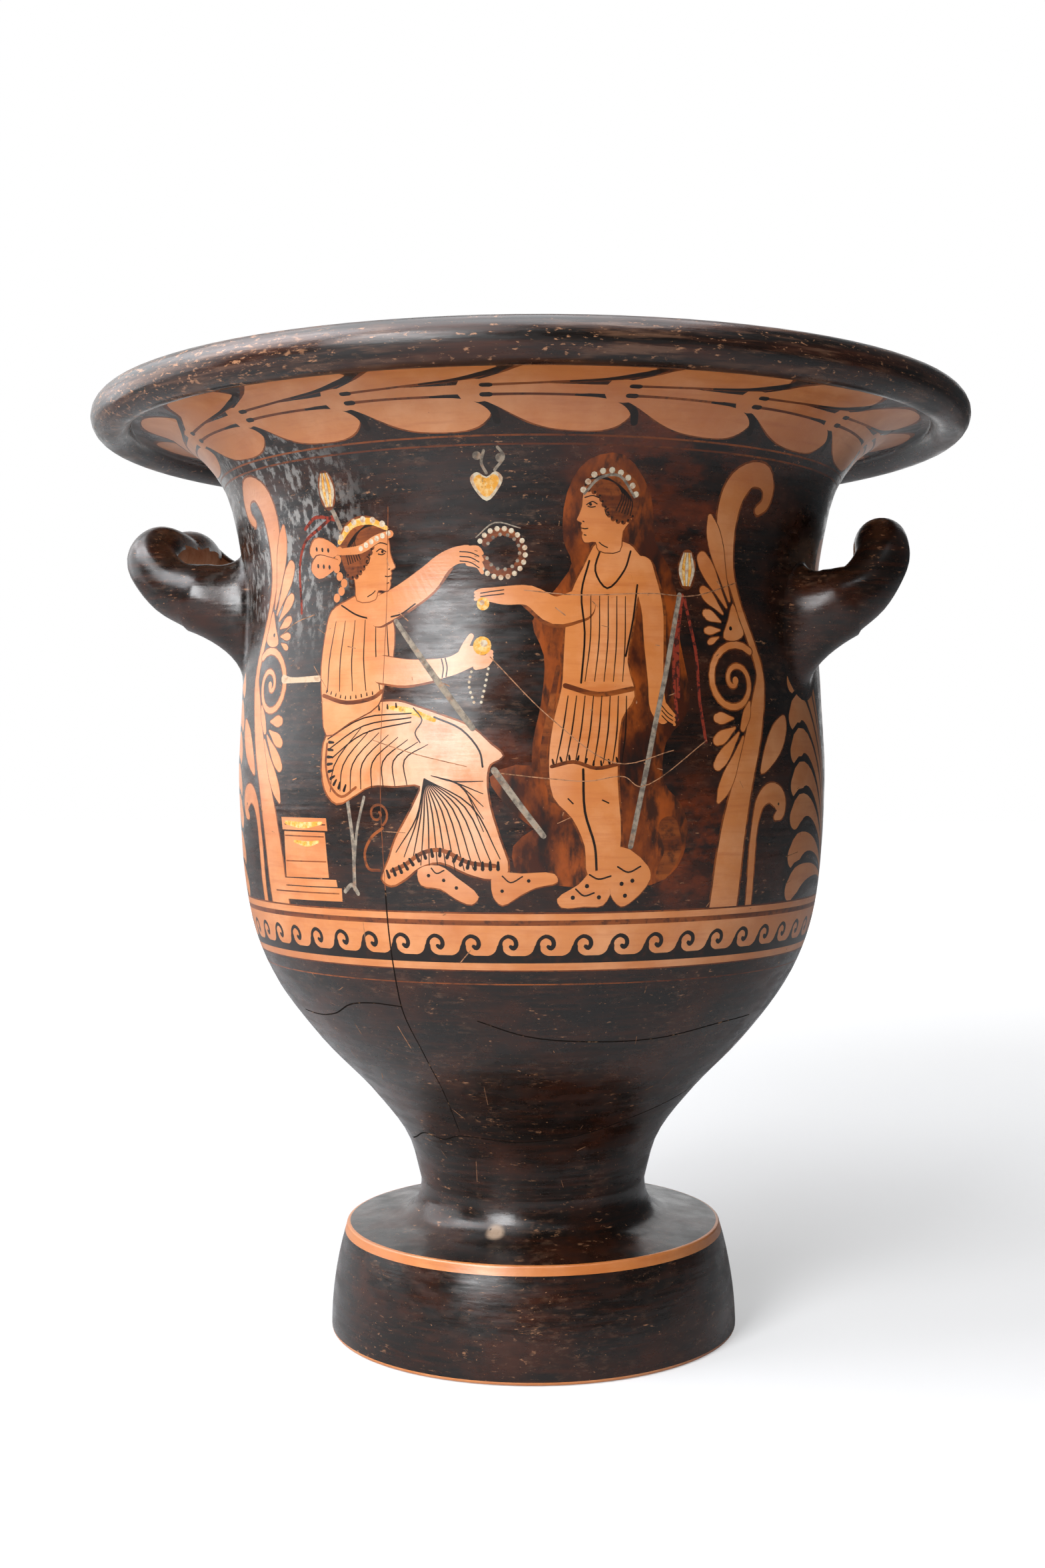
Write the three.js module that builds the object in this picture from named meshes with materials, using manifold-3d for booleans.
// Bell krater: a wheel-thrown mixing bowl of fired clay with a flaring mouth and a rolled lip,
// a short stem on a heavy disc foot, and two upturned loop handles luted on below the mouth.
// Millimetres, +Z up. The origin is the centre of the foot on the surface it stands on,
// the handles lie along +X and -X, and the pictured side faces -Y.
import * as THREE from 'three';
import { mergeVertices } from 'three/addons/utils/BufferGeometryUtils.js';
import Module from 'manifold-3d';

const wasm = await Module();
wasm.setup();

// Disc foot, hollow below inside its resting ring
const footRadius = 82.6;
const footTopRadius = 76.4;
const footHeight = 43;
const footSwell = 1.4;
const footEdgeRound = 1.6;
const restingRingWidth = 13;
const footHollowRise = 27;

// Stem, bored up from the foot's hollow
const stemFootRadius = 60;
const stemFootRise = 2;
const stemBoreRadius = 31;
const stemBoreRise = 42;
const bowlFloorThickness = 12;

// Rings of the thrown wall from the stem up: rise above the ring before, and outer radius
const rings = {
  stem: { rise: 14.5, radius: 45.9 },
  stemTop: { rise: 18.5, radius: 51.4 },
  bowlFoot: { rise: 19, radius: 65.5 },
  bowlSide: { rise: 22, radius: 86.4 },
  bowlTurn: { rise: 25, radius: 104.6 },
  shoulder: { rise: 24, radius: 113.8 },
  belly: { rise: 50, radius: 118.6 },
  underWaist: { rise: 40, radius: 117.1 },
  waist: { rise: 35, radius: 115.3 },
  neck: { rise: 26, radius: 118.6 },
  throat: { rise: 19, radius: 123.8 },
  mouth: { rise: 14, radius: 134 },
  flare: { rise: 7.5, radius: 145 },
};
const wallThickness = 6.5;

// Rolled lip at the end of the flare
const mouthRadius = 175.3;
const lipRise = 4;
const lipRollRadius = 8.1;

// Loop handles: the two were shaped by hand and differ a little
const coilRadius = 11.2;
const rootRadius = 16;
const rootSpread = 37;
const rootInturn = 2;
const rootSink = 6;
const rootBury = 18;
const gripHalfWidth = 21;
const handles = {
  right: { turn: 0, rootDropBelowWaist: 7, reach: 24.5, lift: 28 },
  left: { turn: 180, rootDropBelowWaist: 7.5, reach: 34, lift: 30.5 },
};

// Facets
const facetsRound = 44;
const stepsPerRing = 2;
const lipSteps = 8;
const coilSides = 12;
const coilSteps = 22;

const ringNames = Object.keys(rings);
const stemRingHeight = footHeight + stemFootRise + rings.stem.rise;

// Points on a bend from one point to another, pulled towards a corner
function bend(from, corner, to, steps) {
  return new THREE.QuadraticBezierCurve(from, corner, to).getPoints(steps);
}

// The rings as points of the outer line: x is the radius, y the height
function ringPoints() {
  let height = footHeight + stemFootRise;
  return Object.values(rings).map(({ rise, radius }) => {
    height += rise;
    return new THREE.Vector3(radius, height, 0);
  });
}

// The thrown wall's outer line, one smooth curve through the rings
const wallLine = new THREE.CatmullRomCurve3(ringPoints(), false, 'centripetal');

// Share of the wall line at which a ring lies
function shareOf(ringName) {
  return ringNames.indexOf(ringName) / (ringNames.length - 1);
}

// Points of the wall line moved inward, between two shares of its run
function wallPoints(inward, from, to, steps) {
  const points = [];
  for (let i = 0; i <= steps; i += 1) {
    const share = from + (to - from) * (i / steps);
    const point = wallLine.getPoint(share);
    const tangent = wallLine.getTangent(share);
    points.push(new THREE.Vector2(point.x - tangent.y * inward, point.y + tangent.x * inward));
  }
  return points;
}

// Outer radius of the wall at a height, by halving along the line
function wallRadiusAt(height) {
  let low = 0;
  let high = 1;
  for (let i = 0; i < 40; i += 1) {
    const middle = (low + high) / 2;
    if (wallLine.getPoint(middle).y < height) low = middle;
    else high = middle;
  }
  return wallLine.getPoint(low).x;
}

// Hollow under the foot, from the bore's top on the axis down to the resting ring
function hollowProfile() {
  const top = new THREE.Vector2(0, footHollowRise + stemBoreRise);
  const shoulder = new THREE.Vector2(stemBoreRadius, top.y);
  const boreFoot = new THREE.Vector2(stemBoreRadius, (footHollowRise + top.y) / 2);
  const ringInside = footRadius - restingRingWidth;
  const corner = new THREE.Vector2(stemBoreRadius, footHollowRise);
  const hollowEdge = new THREE.Vector2(ringInside, footHollowRise * 0.9);
  const hollowMiddle = new THREE.Vector2((ringInside + stemBoreRadius) / 2, footHollowRise);
  return [
    ...bend(top, shoulder, boreFoot, 4),
    ...bend(boreFoot, corner, hollowMiddle, 3).slice(1),
    ...bend(hollowMiddle, hollowEdge, new THREE.Vector2(ringInside, 0), 4).slice(1),
  ];
}

// Outside of the foot and the cove up to the stem's narrowest ring
function footProfile() {
  const sideFoot = new THREE.Vector2(footRadius, footEdgeRound);
  const sideTop = new THREE.Vector2(footTopRadius, footHeight - footEdgeRound);
  const sideMiddle = new THREE.Vector2((footRadius + footTopRadius) / 2 + footSwell * 2, footHeight / 2);
  const edgeFoot = new THREE.Vector2(footRadius - footEdgeRound, 0);
  const edgeTop = new THREE.Vector2(footTopRadius - footEdgeRound, footHeight);
  const coveFoot = new THREE.Vector2(stemFootRadius, footHeight + stemFootRise);
  const coveTop = new THREE.Vector2(rings.stem.radius, stemRingHeight);
  return [
    ...bend(edgeFoot, new THREE.Vector2(footRadius, 0), sideFoot, 2),
    ...bend(sideFoot, sideMiddle, sideTop, 4).slice(1),
    ...bend(sideTop, new THREE.Vector2(footTopRadius, footHeight), edgeTop, 2).slice(1),
    ...bend(coveFoot, new THREE.Vector2(rings.stem.radius, coveFoot.y), coveTop, 4).slice(0, -1),
  ];
}

// Rolled lip, from the underside of the flare round to the inside of the mouth
function lipProfile() {
  const end = wallLine.getPoint(1);
  const start = -Math.PI * 0.93;
  const finish = Math.PI * 0.5;
  const points = [];
  for (let i = 0; i <= lipSteps; i += 1) {
    const angle = start + (finish - start) * (i / lipSteps);
    points.push(new THREE.Vector2(
      mouthRadius - lipRollRadius + lipRollRadius * Math.cos(angle),
      end.y + lipRise + lipRollRadius * Math.sin(angle),
    ));
  }
  return points;
}

// Inside of the bowl, from the mouth down to the middle of its floor
function innerProfile() {
  const wall = wallPoints(wallThickness, shareOf('bowlFoot'), 1, 15).reverse();
  const foot = wall[wall.length - 1];
  const floor = new THREE.Vector2(0, footHollowRise + stemBoreRise + bowlFloorThickness);
  const corner = new THREE.Vector2(foot.x * 0.7, floor.y);
  return [...wall, ...bend(foot, corner, floor, 4).slice(1)];
}

// A closed solid from a three.js geometry
function solidFrom(geometry) {
  geometry.deleteAttribute('normal');
  geometry.deleteAttribute('uv');
  const merged = mergeVertices(geometry, 1e-3);
  const index = merged.index.array;
  const kept = [];
  for (let i = 0; i < index.length; i += 3) {
    const [a, b, c] = [index[i], index[i + 1], index[i + 2]];
    if (a !== b && b !== c && c !== a) kept.push(a, b, c);
  }
  return new wasm.Manifold(new wasm.Mesh({
    numProp: 3,
    vertProperties: new Float32Array(merged.attributes.position.array),
    triVerts: new Uint32Array(kept),
  }));
}

// A profile turned once round the Z axis
function turned(profile) {
  const geometry = new THREE.LatheGeometry(profile, facetsRound);
  geometry.rotateX(Math.PI / 2);
  return solidFrom(geometry);
}

// The thrown vessel: foot, stem, bowl, flare and lip, hollow inside and under the foot
function vessel() {
  const outer = wallPoints(0, 0, 1, (ringNames.length - 1) * stepsPerRing);
  return turned([...hollowProfile(), ...footProfile(), ...outer, ...lipProfile(), ...innerProfile()]);
}

// Centreline of a handle on +X: from inside the wall out, up, across the grip and back
function handleLine({ rootDropBelowWaist, reach, lift }) {
  const rootHeight = wallLine.getPoint(shareOf('waist')).y - rootDropBelowWaist;
  const wall = wallRadiusAt(rootHeight);
  const side = [
    [-rootBury, rootSpread - rootInturn, -rootSink],
    [-rootBury * 0.22, rootSpread - rootInturn * 0.25, -rootSink * 0.42],
    [reach * 0.3, rootSpread, lift * 0.12],
    [reach * 0.72, rootSpread - rootInturn, lift * 0.38],
    [reach, rootSpread - rootInturn * 3, lift * 0.74],
    [reach * 1.02, gripHalfWidth, lift * 0.97],
  ].map(([out, across, up]) => new THREE.Vector3(wall + out, across, rootHeight + up));
  const grip = new THREE.Vector3(wall + reach, 0, rootHeight + lift);
  const mirrored = side.map((point) => new THREE.Vector3(point.x, -point.y, point.z)).reverse();
  return new THREE.CatmullRomCurve3([...side, grip, ...mirrored], false, 'centripetal');
}

// Coil of clay along a centreline, thicker where it is pressed onto the wall
function coil(line) {
  const frames = line.computeFrenetFrames(coilSteps, false);
  const positions = [];
  const index = [];
  for (let i = 0; i <= coilSteps; i += 1) {
    const share = i / coilSteps;
    const centre = line.getPointAt(share);
    const fromRoot = Math.min(share, 1 - share);
    const pressed = Math.min(1, 1.6 * Math.max(0, 1 - fromRoot / 0.22) ** 2);
    const radius = coilRadius + (rootRadius - coilRadius) * pressed;
    for (let j = 0; j < coilSides; j += 1) {
      const angle = (2 * Math.PI * j) / coilSides;
      const point = centre.clone()
        .addScaledVector(frames.normals[i], radius * Math.cos(angle))
        .addScaledVector(frames.binormals[i], radius * Math.sin(angle));
      positions.push(point.x, point.y, point.z);
      if (i < coilSteps) {
        const next = (j + 1) % coilSides;
        const row = i * coilSides;
        const above = row + coilSides;
        index.push(row + j, row + next, above + next, row + j, above + next, above + j);
      }
    }
  }
  const lastRow = coilSteps * coilSides;
  for (let j = 1; j < coilSides - 1; j += 1) {
    index.push(0, j + 1, j, lastRow, lastRow + j, lastRow + j + 1);
  }
  const geometry = new THREE.BufferGeometry();
  geometry.setAttribute('position', new THREE.Float32BufferAttribute(positions, 3));
  geometry.setIndex(index);
  return solidFrom(geometry);
}

// Everything inside the middle of the wall, which trims the buried ends of the handles
function wallCore() {
  const middle = wallPoints(wallThickness / 2, shareOf('shoulder'), shareOf('mouth'), 24);
  const foot = new THREE.Vector2(0, middle[0].y);
  const top = new THREE.Vector2(0, middle[middle.length - 1].y);
  return turned([foot, ...middle, top]);
}

// Mesh of a closed solid
function meshFrom(solid, name, material) {
  const { vertProperties, triVerts } = solid.getMesh();
  const geometry = new THREE.BufferGeometry();
  geometry.setAttribute('position', new THREE.Float32BufferAttribute(vertProperties, 3));
  geometry.setIndex(new THREE.Uint32BufferAttribute(triVerts, 1));
  const mesh = new THREE.Mesh(geometry, material);
  mesh.name = name;
  return mesh;
}

// The whole pot, one fired piece
function kraterSolid() {
  const core = wallCore();
  let body = vessel();
  for (const handle of Object.values(handles)) {
    const loop = coil(handleLine(handle)).rotate([0, 0, handle.turn]);
    body = body.add(loop.subtract(core));
  }
  return body;
}

const slip = new THREE.MeshStandardMaterial({ color: 0x241a16, roughness: 0.32, metalness: 0 });

const krater = new THREE.Group();
krater.add(meshFrom(kraterSolid(), 'krater', slip));

export default krater;
